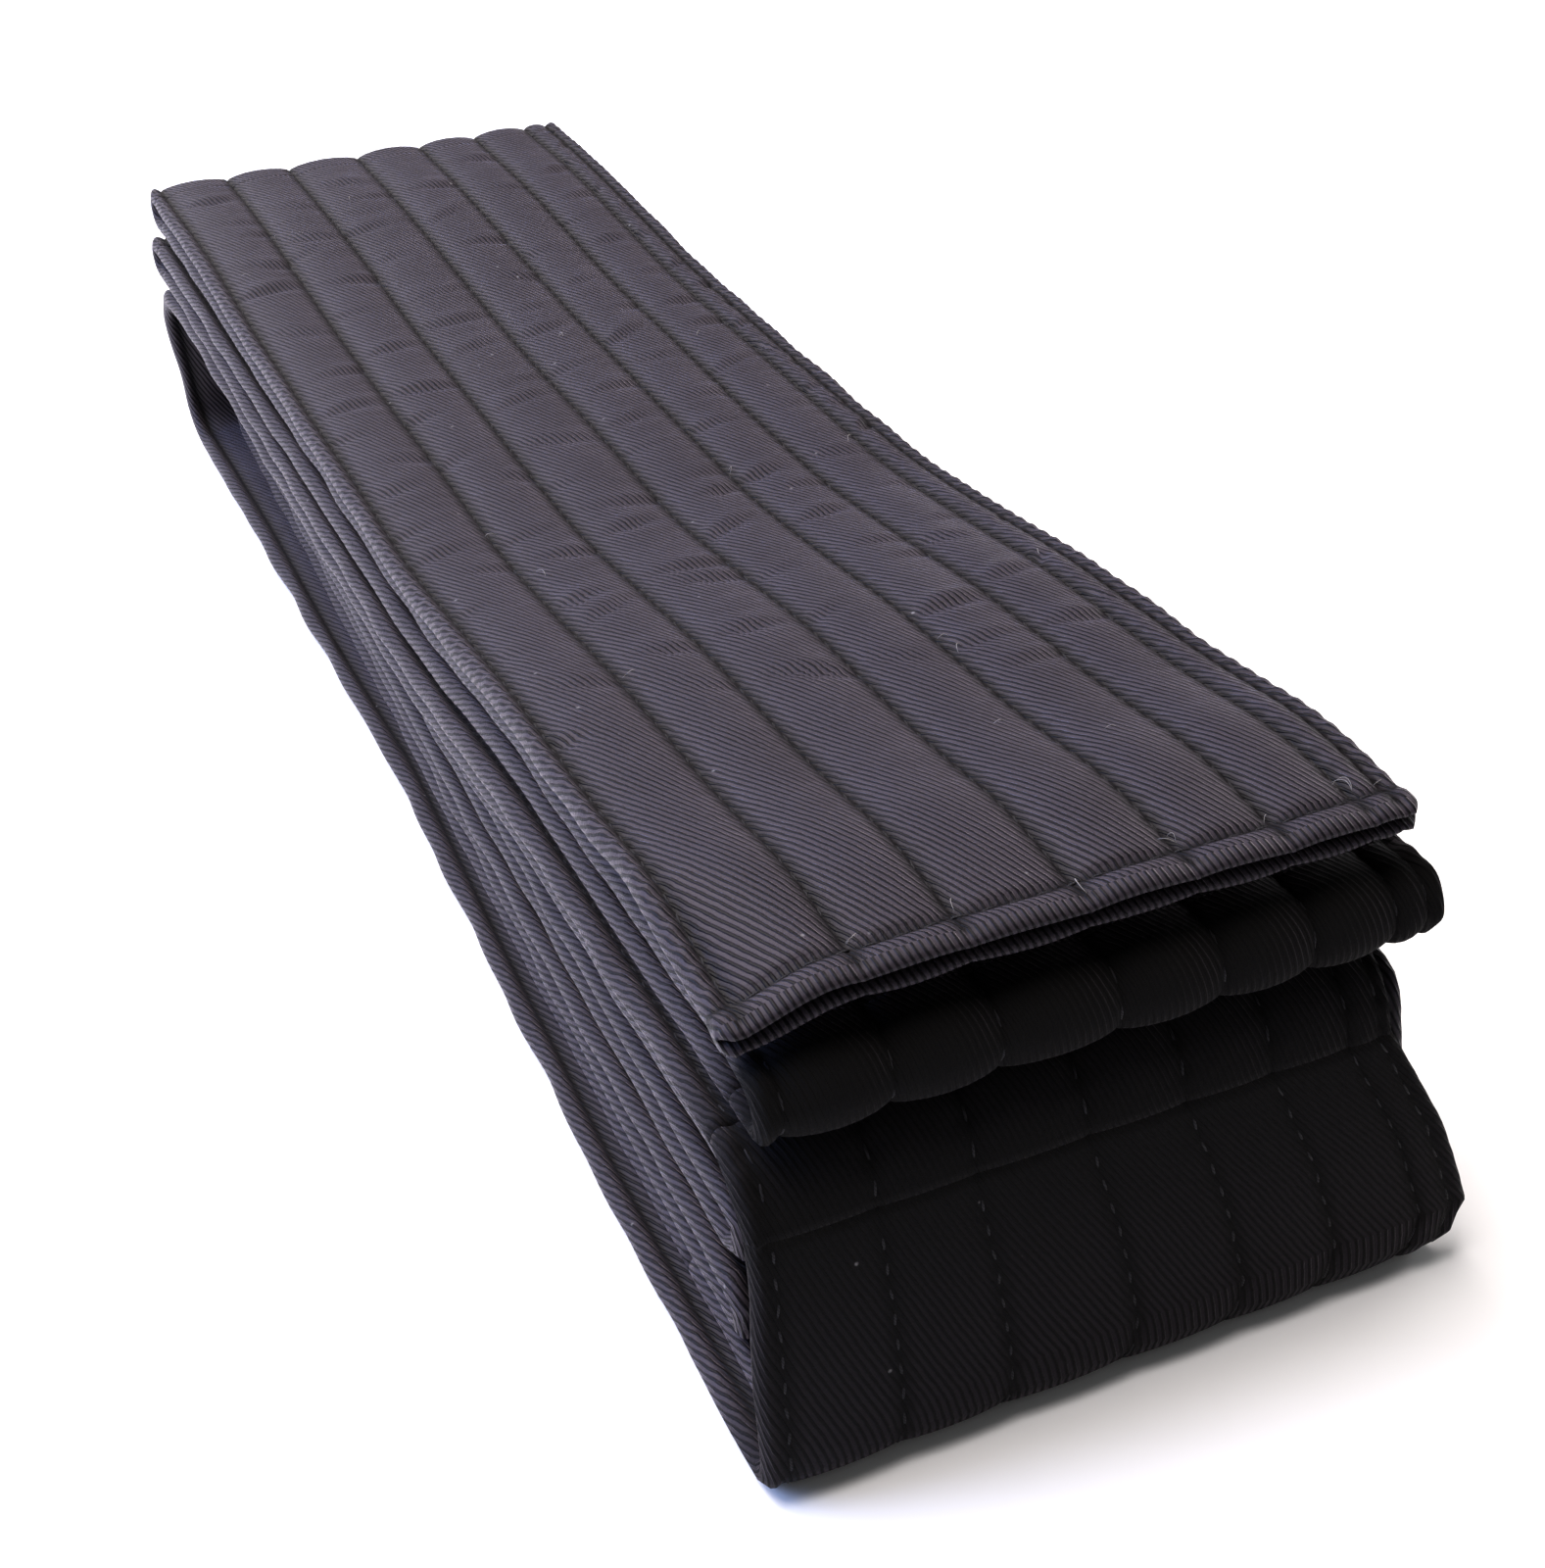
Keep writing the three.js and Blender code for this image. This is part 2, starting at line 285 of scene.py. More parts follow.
@functools.cache
def place_on_route(s):
    """x, y, z and heading of the middle of the belt, s millimetres along it, in the frame."""
    for name, start in starts.items():
        length, at = route[name]
        if s <= start + length or name == "layer_06":
            x, y, z, heading = at(min(max(s - start, 0), length))
            return x - middle_x, y - middle_y, z, heading


# How far the cloth's right and left edges stray from their places, as (place along the belt, distance).
right_strays = [
    (starts["near_shoulder"] - 30, 0),
    (starts["near_face"], -3.5),
    (starts["near_face"] + 14, 3.5),
    (starts["layer_11"] - 7, 7),
    (starts["layer_11"], 3.5),
    (starts["layer_11"] + 50, 0),
]
left_strays = [
    (starts["fold_01_02"] - 90, 0),
    (starts["fold_01_02"], -1.8),
    (starts["layer_02"] + 90, 0),
    (starts["fold_03_04"] - 90, 0),
    (starts["fold_03_04"], -1.4),
    (starts["layer_04"] + 90, 0),
    (starts["near_face"], 0),
    (starts["layer_11"], -1.6),
    (starts["layer_11"] + 50, -1),
    (starts["layer_11"] + 150, 2),
    (starts["far_loop"], 1),
    (starts["far_loop"] + 30, -1),
    (starts["layer_05"] + 80, 0),
]


@functools.cache
def strays_at(s):
    return [float(np.interp(s, *zip(*strays))) for strays in (right_strays, left_strays)]


def strayed(u, s):
    """u with the straying of both edges taken up evenly across the belt."""
    to_right, to_left = strays_at(s)
    return u + (0.5 + u / belt_width) * to_right + (0.5 - u / belt_width) * to_left


# How much darker and more matt the cloth is made at the near end, as (place along the belt, share).
# The darkening is painted shade on the nose fold and the near face, where the lamps don't reach.
painted_end_shade = [
    (starts["fold_02_03"] - 6, 0),
    (starts["fold_02_03"], 1),
    (starts["layer_03"], 1),
    (starts["layer_03"] + 12, 0),
    (starts["near_shoulder"] - 12, 0),
    (starts["near_shoulder"], 0.8),
    (starts["near_face"], 1),
    (starts["layer_11"], 0.7),
    (starts["layer_11"] + 12, 0),
]
# How tight the cloth is drawn round the near face, where its channels lie nearly flat.
drawn_tight = [
    (starts["near_shoulder"] - 8, 0),
    (starts["near_shoulder"] + 5, 1),
    (starts["layer_11"], 1),
    (starts["layer_11"] + 25, 0),
]


def hem_curl(u, s):
    """The visible hem is arched across the belt and its left corner droops."""
    droop = corner_droop * smooth((-27 - u) / 13)
    uneven = 0.4 * noise.noise(Vector((u / 9, 0.3, 8.1)))
    return smooth((hem_curl_length - s) / 22) * (hem_arch - droop - uneven)


def wander(s, number):
    """A hand-guided row or edge drifts a little to either side."""
    return 0.5 * noise.noise(Vector((s / 45, number * 7.3, 0.5)))


def rows_at(s):
    return [place - belt_width / 2 + wander(s, number) for number, place in enumerate(row_places)]


def creases_of_channel(number, first, last):
    """Cross creases of one channel: place along the belt, middle across, depth, half length, slant, bow."""
    rng = np.random.default_rng(40 + number)
    creases = []
    place = first + rng.uniform(0, 14)
    while place < last:
        middle = rng.choice([0.12, 0.3, 0.5, 0.75, 0.9])
        depth, half_length = rng.uniform(0.25, 0.85), rng.uniform(0.15, 0.5)
        creases.append((place, middle, depth, half_length, rng.normal(0, 4), rng.normal(3, 4)))
        place += rng.uniform(5, 19)
    return creases


top_creases = [creases_of_channel(number, 45, 268) for number in range(len(row_places) - 1)]


def crease_depth(number, share, s):
    depth = 0
    for place, middle, deep, half, slant, bow in top_creases[number]:
        if abs(s - place) > crease_reach:
            continue
        aside_of_middle = share - middle
        ahead = s - place - slant * aside_of_middle - bow * aside_of_middle**2
        across = math.exp(-((aside_of_middle / half) ** 2))
        trough = math.exp(-((ahead / crease_width) ** 2))
        ridge = math.exp(-(((ahead - ridge_aside) / ridge_width) ** 2))
        depth += across * deep * (trough - 0.5 * ridge)
    return depth


def fold_share(s, face_side):
    """1 on the inner side of a tight fold's arc, falling to 0 over the taper."""
    share = 0
    for start, end, face_inside in tight_folds:
        if face_inside == face_side:
            beyond = max(start - s, s - end, 0)
            share = max(share, 1 - smooth(beyond / fold_taper))
    return share


def half_thickness(number, share, width, s, face_side):
    """From the middle of the belt to its surface, in a channel, at a share of the channel's width."""
    valley = math.sin(math.pi * share) ** 0.55 if 0 < share < 1 else 0
    full = channel_half - 0.25 * smooth((9 - width) / 5)
    swell = 0.12 * noise.noise(Vector((number * 3.1 + share, s / 17, 4.0 if face_side else 9.0)))
    half = row_half + (full - row_half) * valley * (1 + swell)
    tight = float(np.interp(s, *zip(*drawn_tight)))
    half = half * (1 - tight) + (tight_half + tight_swell * valley) * tight
    from_row = min(share, 1 - share) * width
    half += pucker * math.cos(2 * math.pi * s / stitch_pitch + number) * math.exp(-from_row / 1.6)
    if face_side and s < starts["fold_01_02"]:
        half -= crease_depth(number, share, s) * (0.35 + 0.65 * valley)
    inside = fold_share(s, face_side)
    return half * (1 - inside) + min(half, folded_half) * inside


def edge_section(s, edge, face_side):
    """Points of the belt's long edge beyond its outermost row: offset across and half thickness."""
    places = rows_at(s)
    row = places[0] if edge < 0 else places[-1]
    border = edge * (belt_width / 2 + 0.5 * noise.noise(Vector((s / 12, edge * 4.0, 2.0))))
    ripple = 1 + pucker * math.cos(2 * math.pi * s / stitch_pitch)
    inside = fold_share(s, face_side)
    full = edge_half * ripple * (1 - inside) + folded_half * inside
    shares = [0.25, 0.5, 0.72, 0.9]
    halves = [0.86, 1.0, 0.9, 0.55]
    return [(row + (border - row) * share, full * half) for share, half in zip(shares, halves)], border


def hem_section(half, s, ends):
    """The cloth is folded in at an end of the belt: a plump roll in front of the cross row."""
    for end, way in ends:
        ahead = (s - end) * way + hem_lip
        if ahead < hem_row + hem_cover:
            groove = math.exp(-(((ahead - hem_row) / groove_width) ** 2))
            roll = 0.05 * smooth((hem_row - ahead) / 1.5)
            even = 0.5 * smooth((hem_row + 1 - ahead) / 2)
            half = half * (1 - even) + max(half, 1.9) * even + roll - groove * max(half - hem_valley, 0)
    return half


def ring_at(s, per_channel, ends):
    """One ring round the belt: (across, through, way round), starting at the left edge, face side first."""
    places = rows_at(s)
    face, back = [], []
    for side, points in ((1, face), (0, back)):
        left_edge, left_border = edge_section(s, -1, side)
        right_edge, right_border = edge_section(s, 1, side)
        points += [(u, hem_section(half, s, ends)) for u, half in reversed(left_edge)]
        for number in range(len(places) - 1):
            near, width = places[number], places[number + 1] - places[number]
            for step in range(per_channel + (number == len(places) - 2)):
                share = (1 - math.cos(math.pi * step / per_channel)) / 2
                half = half_thickness(number, share, width, s, bool(side))
                points.append((near + share * width, hem_section(half, s, ends)))
        points += [(u, hem_section(half, s, ends)) for u, half in right_edge]
    ring = [(left_border, 0.0)] + [(u, -half) for u, half in face]
    ring += [(right_border, 0.0)] + [(u, half) for u, half in reversed(back)]
    return ring


def laid(u, v, s, ahead=0):
    """A point across, through and along the belt, laid on the folded route, in metres."""
    x, y, z, heading = place_on_route(s)
    y += v * math.sin(heading) + ahead * math.cos(heading)
    z += ahead * math.sin(heading) - v * math.cos(heading) + (hem_curl(u, s) if s < hem_curl_length else 0)
    # The underside lies flat on what it rests on.
    return (x + strayed(u, s)) * MM, y * MM, max(z, 0) * MM


def new_piece(name, vertices, faces, material, ways=None, shares=None):
    """A mesh piece at the origin. ways gives each face corner's place on the cloth, in metres, as its UV
    map, and shares gives named lists with a value for each vertex."""
    mesh = bpy.data.meshes.new(name)
    mesh.from_pydata(vertices, [], faces)
    if ways is not None:
        layer = mesh.uv_layers.new(name="cloth")
        layer.data.foreach_set("uv", np.array(ways, np.float32).ravel())
    for share, values in (shares or {}).items():
        attribute = mesh.attributes.new(share, "FLOAT", "POINT")
        attribute.data.foreach_set("value", np.array(values, np.float32))
    mesh.materials.append(material)
    mesh.shade_smooth()
    piece = bpy.data.objects.new(name, mesh)
    bpy.context.scene.collection.objects.link(piece)
    return piece


lip_shares = [0.0, 0.03, 0.08, 0.16, 0.26, 0.35, 0.41, 0.44, 0.455]
lip_end = 0.44  # a lip's share of the way from face to back
slot_side = 1.6  # how deep the slot between the lips is at its sides
slot_floor = 2.2  # and in its middle


def hem_lip_points():
    """Across a hem's end from face to back: share of the way, and how far out it reaches."""
    points = []
    for share in lip_shares[1:]:
        bulge = math.sqrt(max(math.sin(math.pi * share / lip_end), 0)) if share < lip_end else 0
        points.append((share, hem_lip * bulge if share < lip_end else -slot_side))
    return points + [(0.5, -slot_floor)] + [(1 - share, out) for share, out in reversed(points)]


def cloth_panel(name, start, end, step, per_channel, material, ends=()):
    """A closed length of quilted belt from start to end along the route."""
    count = max(round((end - start) / step), 4)
    places = [start + (end - start) * i / count for i in range(count + 1)]
    rings = [ring_at(s, per_channel, ends) for s in places]
    size = len(rings[0])
    vertices, ways, painted_row_shade, dark = [], [], [], []
    # The cloth's own coordinate round the belt is the same for every ring, so the weave runs straight.
    round_way = [0.0]
    middle = rings[count // 2]
    for (u, v), (before_u, before_v) in zip(middle[1:] + middle[:1], middle):
        round_way.append(round_way[-1] + math.hypot(u - before_u, v - before_v))
    for s, ring in zip(places, rings):
        vertices += [laid(u, v, s) for u, v in ring]
        # Painted shade in the grooves: 1 on a stitch row and on the hem's cross row, falling to 0 beside them.
        rows = rows_at(s)
        reach = 1.5 + 0.4 * math.cos(2 * math.pi * s / stitch_pitch)
        cross = max([1 - abs((s - end) * way + hem_lip - hem_row) for end, way in ends], default=0)
        painted_row_shade += [max(1 - min(abs(u - row) for row in rows) / reach, cross, 0) for u, v in ring]
        # The share of painted shade at the near end.
        dark += [float(np.interp(s, *zip(*painted_end_shade)))] * len(ring)
        ways.append([(way * MM, s * MM) for way in round_way])
    faces, corners = [], []
    for i in range(count):
        for j in range(size):
            k = (j + 1) % size
            faces.append((i * size + j, (i + 1) * size + j, (i + 1) * size + k, i * size + k))
            corners += [ways[i][j], ways[i + 1][j], ways[i + 1][j + 1], ways[i][j + 1]]
    cut_faces = []
    for i, outwards in ((0, -1), (count, 1)):
        lips = hem_lip_points() if any(abs(places[i] - place) < 0.01 for place, _ in ends) else []
        before = len(faces)
        close_end(vertices, faces, corners, rings[i], places[i], i * size, outwards, lips)
        cut_faces += [] if lips else range(before, len(faces))
    extra = len(vertices) - len(painted_row_shade)
    shares = {"painted_row_shade": painted_row_shade + [0.3] * extra, "painted_end_shade": dark + [0.0] * extra}
    panel = new_piece(name, vertices, faces, material, corners, shares)
    for index in cut_faces:
        panel.data.polygons[index].use_smooth = False
    return panel


def close_end(vertices, faces, corners, ring, s, first, outwards, lips):
    """Closes an end with strips from the face side to the back, shaped as two rolled lips at a hem."""
    size = len(ring)
    half = size // 2
    columns = []
    for j in range(half + 1):
        other = (size - j) % size
        column = [first + j]
        if 0 < j < half:
            (face_u, face_v), (back_u, back_v) = ring[j], ring[other]
            border = min(1, min(j, half - j) / 3)
            for share, out in lips:
                u, v = face_u + (back_u - face_u) * share, face_v + (back_v - face_v) * share
                column.append(len(vertices))
                vertices.append(laid(u, v, s, out * border * outwards))
            column.append(first + other)
        columns.append(column)
    for one, two in zip(columns, columns[1:]):
        steps = max(len(one), len(two)) - 1
        for k in range(steps):
            quad = [one[min(k, len(one) - 1)], two[min(k, len(two) - 1)]]
            quad += [two[min(k + 1, len(two) - 1)], one[min(k + 1, len(one) - 1)]]
            quad = list(dict.fromkeys(quad))
            if len(quad) < 3:
                continue
            faces.append(tuple(quad if outwards < 0 else reversed(quad)))
            corners += [(vertices[q][0] + 0.04, s * MM + vertices[q][2]) for q in faces[-1]]


def stitch_shape():
    """One stitch, modelled once: a thin grain of thread that dips at both ends."""
    bpy.ops.object.select_all(action="DESELECT")
    bpy.ops.mesh.primitive_uv_sphere_add(segments=6, ring_count=6, radius=0.5)
    grain = bpy.context.object
    points = [tuple(v.co) for v in grain.data.vertices]
    # Sorted, because the operator lists the same faces in another order in each run.
    faces = sorted(tuple(f.vertices) for f in grain.data.polygons)
    bpy.data.objects.remove(grain)
    shaped = []
    for x, y, z in points:
        dip = 0.55 * (2 * z) ** 4
        shaped.append((x * thread_width, y * thread_width + dip, z * stitch_length))
    return shaped, faces


stitch_points, stitch_faces = stitch_shape()


def lengthwise_stitches(s_from, s_to, sides):
    """The stitches of all rows between two places along the belt: across, through, along, way, side."""
    stitches = []
    for side in sides:
        for number in range(len(row_places)):
            first = math.ceil(s_from / stitch_pitch)
            for k in range(first, math.floor(s_to / stitch_pitch) + 1):
                s = k * stitch_pitch + stitch_pitch / 2 - number * stitch_pitch / (2 * math.pi)
                if s_from + seam_margin <= s - stitch_reach and s + stitch_reach <= s_to - seam_margin:
                    through = side * surface_at_row(number, s, side < 0)
                    stitches.append((rows_at(s)[number], through, s, 0, side))
    return stitches


def surface_at_row(number, s, face_side):
    channel = min(number, len(row_places) - 2)
    return half_thickness(channel, 0 if number == channel else 1, 10, s, face_side) + thread_lift


def cross_stitches(end, way, sides):
    """The row across a hem."""
    s = end + way * hem_row
    count = int((belt_width - 4) / stitch_pitch)
    places = [(i - (count - 1) / 2) * stitch_pitch for i in range(count)]
    return [(u, side * (hem_valley + 0.12), s, 1, side) for side in sides for u in places]


def sewn(name, stitches, material):
    """All the stitches of one piece of the belt as one mesh, bent with the cloth."""
    vertices, faces = [], []
    for number, (u, v, s, across, side) in enumerate(stitches):
        base = len(vertices)
        slant = 0.16 * math.sin(number * 2.4)
        for a, b, c in stitch_points:
            through = v - side * b
            along, aside_by = (a, c) if across else (c, a)
            place_u = u + aside_by + slant * c * (not across)
            vertices.append(laid(place_u, through, s + along + slant * c * across))
        turned = (side < 0) != bool(across)
        faces += [tuple(base + i for i in (face if turned else reversed(face))) for face in stitch_faces]
    return new_piece(name, vertices, faces, material)


def loose_hairs(name, spots, material):
    """Loose hairs as thin curved tubes. Each spot is across, along, length, turn and curl."""
    vertices, faces = [], []
    steps = 8
    for u, s, length, turn, curl in spots:
        base = len(vertices)
        across, along, way = u, s, turn
        for step in range(steps + 1):
            share = step / steps
            radius = hair_radius * (1 - 0.7 * abs(2 * share - 1) ** 3)
            height = channel_half + 0.15 + 0.9 * math.sin(math.pi * share) * abs(curl) / 2
            for corner in range(3):
                angle = corner * 2 * math.pi / 3
                corner_u, corner_v = radius * math.cos(angle), radius * math.sin(angle)
                vertices.append(laid(across + corner_u, -height - corner_v, along))
            way += curl / steps
            across += length / steps * math.cos(way)
            along += length / steps * math.sin(way)
        for step in range(steps):
            for corner in range(3):
                a, b = base + step * 3 + corner, base + step * 3 + (corner + 1) % 3
                faces.append((a, a + 3, b + 3, b))
        faces += [(base, base + 1, base + 2), tuple(base + steps * 3 + i for i in (2, 1, 0))]
    return new_piece(name, vertices, faces, material)


def row_end_hairs():
    """Cut thread ends where the rows meet the hem's cross row, and a few hairs further along."""
    rng = np.random.default_rng(7)
    spots = []
    for place in row_places[1:]:
        for _ in range(rng.integers(1, 3)):
            turn, curl = rng.uniform(0, 2 * math.pi), rng.choice([-1, 1]) * rng.uniform(0.8, 2.4)
            along, length = hem_row + rng.normal(0.4, 0.5), rng.uniform(1.2, 3)
            spots.append((place - belt_width / 2, along, length, turn, curl))
    for _ in range(16):
        turn, curl = rng.uniform(0, 2 * math.pi), rng.choice([-1, 1]) * rng.uniform(0.5, 2)
        spots.append((rng.uniform(-36, 36), rng.uniform(20, 260), rng.uniform(0.8, 2.6), turn, curl))
    return spots


# Materials.


def linear(code):
    """sRGB hex to linear colour."""
    parts = [int(code[i : i + 2], 16) / 255 for i in (1, 3, 5)]
    return tuple(c / 12.92 if c <= 0.04045 else ((c + 0.055) / 1.055) ** 2.4 for c in parts) + (1,)


def add_node(tree, kind, inputs=(), **settings):
    """Adds one node. inputs gives each socket a value, or the output socket that feeds it."""
    node = tree.nodes.new(kind)
    for key, value in settings.items():
        setattr(node, key, value)
    for key, value in dict(inputs).items():
        if isinstance(value, bpy.types.NodeSocket):
            tree.links.new(value, node.inputs[key])
        else:
            node.inputs[key].default_value = value
    return node


def new_material(name):
    material = bpy.data.materials.new(name)
    material.use_nodes = True
    tree = material.node_tree
    tree.nodes.clear()
    return material, tree


def band_scale(period):
    """The wave texture's scale for a period in metres."""
    return 2 * math.pi / (20 * period)


rib_pitch = 0.8 * MM
# How many of each fill a millimetre, which is the scale of a noise or a cell texture in metres.
yarn_grain = 2.6 / MM
wear_patches = 0.09 / MM
lint_specks = 0.15 / MM
lint_tones = 0.9 / MM


# Sockets of a colour mix node: how much of the second colour, and the two colours.
SHARE, FIRST, SECOND = 0, 6, 7


def black_cotton_twill():
    """Black cotton twill, woven and washed a little grey. Its slanted ribs stand 0.8 mm apart, and their fuzz
    catches light that comes from behind, while a surface that faces the eye stays nearly black. Its IOR is
    set well below the fibre's 1.5, so that the weave doesn't shine. The colour shares run from dark to light
    by rib and wear, the ribs' crests painted lighter and their gaps darker as painted highlight and painted
    shade, then to black as painted shade in the rows and at the near end, and to grey in the specks of lint."""
    material, tree = new_material("black_cotton_twill")
    cloth = add_node(tree, "ShaderNodeUVMap", uv_map="cloth").outputs["UV"]
    turned = {"Vector": cloth, "Rotation": (0, 0, math.radians(-23.5))}
    slant = add_node(tree, "ShaderNodeMapping", turned).outputs["Vector"]
    wave = {"Vector": slant, "Scale": band_scale(rib_pitch), "Distortion": 0.9}
    wave |= {"Detail": 2, "Detail Scale": 1.2}
    round_rib = add_node(tree, "ShaderNodeTexWave", wave).outputs["Fac"]
    gaps = {"Value": round_rib, "From Min": 0.12, "From Max": 0.6, "To Min": 0.0, "To Max": 1.0}
    rib = add_node(tree, "ShaderNodeMapRange", gaps).outputs["Result"]
    grain = {"Vector": cloth, "Scale": yarn_grain, "Detail": 3, "Roughness": 0.6}
    yarn = add_node(tree, "ShaderNodeTexNoise", grain).outputs["Fac"]
    patches = {"Vector": cloth, "Scale": wear_patches, "Detail": 6, "Roughness": 0.7}
    fading = add_node(tree, "ShaderNodeTexNoise", patches).outputs["Fac"]
    # The rows' painted shade.
    painted_row_shade = add_node(tree, "ShaderNodeAttribute", attribute_name="painted_row_shade").outputs["Fac"]
    # The near end's painted shade.
    dark = add_node(tree, "ShaderNodeAttribute", attribute_name="painted_end_shade").outputs["Fac"]
    cells = {"Vector": cloth, "Scale": lint_specks}
    spots = add_node(tree, "ShaderNodeTexVoronoi", cells).outputs["Distance"]
    limits = {"Value": spots, "From Min": 0.02, "From Max": 0.045, "To Min": 0.45, "To Max": 0.0}
    lint = add_node(tree, "ShaderNodeMapRange", limits).outputs["Result"]
    blend = {"data_type": "RGBA"}
    # The ribs' crests are painted lighter and their gaps darker: a painted highlight and painted shade on the
    # weave.
    rib_light_and_shade = {SHARE: rib, FIRST: linear("#060506"), SECOND: linear("#3b353b")}
    ribs = add_node(tree, "ShaderNodeMix", rib_light_and_shade, **blend).outputs[2]
    washed = {SHARE: fading, FIRST: linear("#120f10"), SECOND: linear("#2f2d35")}
    worn = add_node(tree, "ShaderNodeMix", washed, **blend).outputs[2]
    dyed = add_node(tree, "ShaderNodeMix", {SHARE: 0.22, FIRST: ribs, SECOND: worn}, **blend).outputs[2]
    # The colour is painted nearly black at the rows, as painted shade in their grooves.
    in_row = {"Value": painted_row_shade, "From Min": 0.1, "From Max": 0.9, "To Min": 0.0, "To Max": 0.9}
    shade = add_node(tree, "ShaderNodeMapRange", in_row).outputs["Result"]
    # Painted shade goes over the dyed colour, nearly black in the rows and at the near end, and then the grey
    # specks of lint.
    colour = dyed
    for share, over in ((shade, "#070607"), (dark, "#0a0909"), (lint, "#8d8a8c")):
        covered = {SHARE: share, FIRST: colour, SECOND: linear(over)}
        colour = add_node(tree, "ShaderNodeMix", covered, **blend).outputs[2]
    relief = add_node(tree, "ShaderNodeMath", {0: yarn, 1: 0.5}, operation="MULTIPLY").outputs["Value"]
    height = add_node(tree, "ShaderNodeMath", {0: rib, 1: relief}, operation="ADD").outputs["Value"]
    bump = add_node(tree, "ShaderNodeBump", {"Strength": 0.9, "Distance": 0.2 * MM, "Height": height})
    # The fuzz stands on the ribs of worn cloth; as part of the painted shade, it is taken away in the rows and
    # at the dark end.
    fuzz = 1.0
    for value, low, high, at_low, at_high in (
        (rib, 0.15, 0.85, 0.0, 0.55),
        (fading, 0.3, 0.7, 0.4, 1.0),
        (painted_row_shade, 0.1, 0.85, 1.0, 0.05),
        (dark, 0.0, 1.0, 1.0, 0.15),
    ):
        limits = {"Value": value, "From Min": low, "From Max": high, "To Min": at_low, "To Max": at_high}
        share = add_node(tree, "ShaderNodeMapRange", limits).outputs["Result"]
        fuzz = add_node(tree, "ShaderNodeMath", {0: fuzz, 1: share}, operation="MULTIPLY").outputs["Value"]
    matter = {"Value": dark, "From Min": 0.0, "From Max": 1.0, "To Min": 0.46, "To Max": 0.95}
    gloss = add_node(tree, "ShaderNodeMapRange", matter).outputs["Result"]
    shader = add_node(
        tree,
        "ShaderNodeBsdfPrincipled",
        {
            "Base Color": colour,
            "Roughness": gloss,
            "Normal": bump.outputs["Normal"],
            "IOR": 1.18,
            "Sheen Weight": fuzz,
            "Sheen Roughness": 0.25,
            "Sheen Tint": linear("#d8cbd6"),
        },
    )
    add_node(tree, "ShaderNodeOutputMaterial", {"Surface": shader.outputs["BSDF"]})
    return material


def pale_lint():
    """Pale cotton lint, uneven and matt. It reads as light hairs on the black cloth."""
    material, tree = new_material("pale_cotton_lint")
    place = add_node(tree, "ShaderNodeTexCoord").outputs["Object"]
    tone = {"Vector": place, "Scale": lint_tones, "Detail": 2}
    uneven = add_node(tree, "ShaderNodeTexNoise", tone).outputs["Fac"]
    tones = {SHARE: uneven, FIRST: linear("#6a6564"), SECOND: linear("#b3aca8")}
    colour = add_node(tree, "ShaderNodeMix", tones, data_type="RGBA").outputs[2]
    shader = add_node(tree, "ShaderNodeBsdfPrincipled", {"Base Color": colour, "Roughness": 0.8})
    add_node(tree, "ShaderNodeOutputMaterial", {"Surface": shader.outputs["BSDF"]})
    return material


def black_sewing_thread():
    """Black spun polyester thread. Its twist glints a little: the twist is a little glossier, and lighter in
    colour as a painted glint.
    """
    material, tree = new_material("black_sewing_thread")
    place = add_node(tree, "ShaderNodeTexCoord").outputs["Object"]
    turned = {"Vector": place, "Rotation": (0.6, 0.5, 0.8)}
    slant = add_node(tree, "ShaderNodeMapping", turned).outputs["Vector"]
    wave = {"Vector": slant, "Scale": band_scale(0.25 * MM), "Distortion": 1.0}
    twist = add_node(tree, "ShaderNodeTexWave", wave).outputs["Fac"]
    # The twist's bands are painted lighter, a painted glint.
    twist_glint = {SHARE: twist, FIRST: linear("#0a090b"), SECOND: linear("#1b191d")}
    colour = add_node(tree, "ShaderNodeMix", twist_glint, data_type="RGBA").outputs[2]
    bump = add_node(tree, "ShaderNodeBump", {"Strength": 0.5, "Distance": 0.05 * MM, "Height": twist})
    gloss = {"Value": twist, "From Min": 0.0, "From Max": 1.0, "To Min": 0.75, "To Max": 0.6}
    roughness = add_node(tree, "ShaderNodeMapRange", gloss).outputs["Result"]
    shader = add_node(
        tree,
        "ShaderNodeBsdfPrincipled",
        {"Base Color": colour, "Roughness": roughness, "Normal": bump.outputs["Normal"], "IOR": 1.3},
    )
    add_node(tree, "ShaderNodeOutputMaterial", {"Surface": shader.outputs["BSDF"]})
    return material


def painted_studio_floor():
    """Matte white paint with a barely uneven roller finish."""
    material, tree = new_material("white_studio_paint")
    place = add_node(tree, "ShaderNodeTexCoord").outputs["Object"]
    uneven = add_node(tree, "ShaderNodeTexNoise", {"Vector": place, "Scale": 3.0}).outputs["Fac"]
    coats = {SHARE: uneven, FIRST: linear("#f1f1f1"), SECOND: linear("#f5f5f5")}
    colour = add_node(tree, "ShaderNodeMix", coats, data_type="RGBA").outputs[2]
    shader = add_node(tree, "ShaderNodeBsdfPrincipled", {"Base Color": colour, "Roughness": 0.9})
    add_node(tree, "ShaderNodeOutputMaterial", {"Surface": shader.outputs["BSDF"]})
    return material


twill = black_cotton_twill()
thread = black_sewing_thread()
lint_hairs = pale_lint()


# Pieces.

# Rings this far apart in millimetres, and points across a channel.
panel_step = 1.6
fine_step = 0.8
fold_step = 0.45
hidden_step = 3.2
channel_points = 8
hidden_points = 3
# Half the height over which a tight fold and the wider nose fold bend.
fold_band = 0.6
nose_band = 0.9

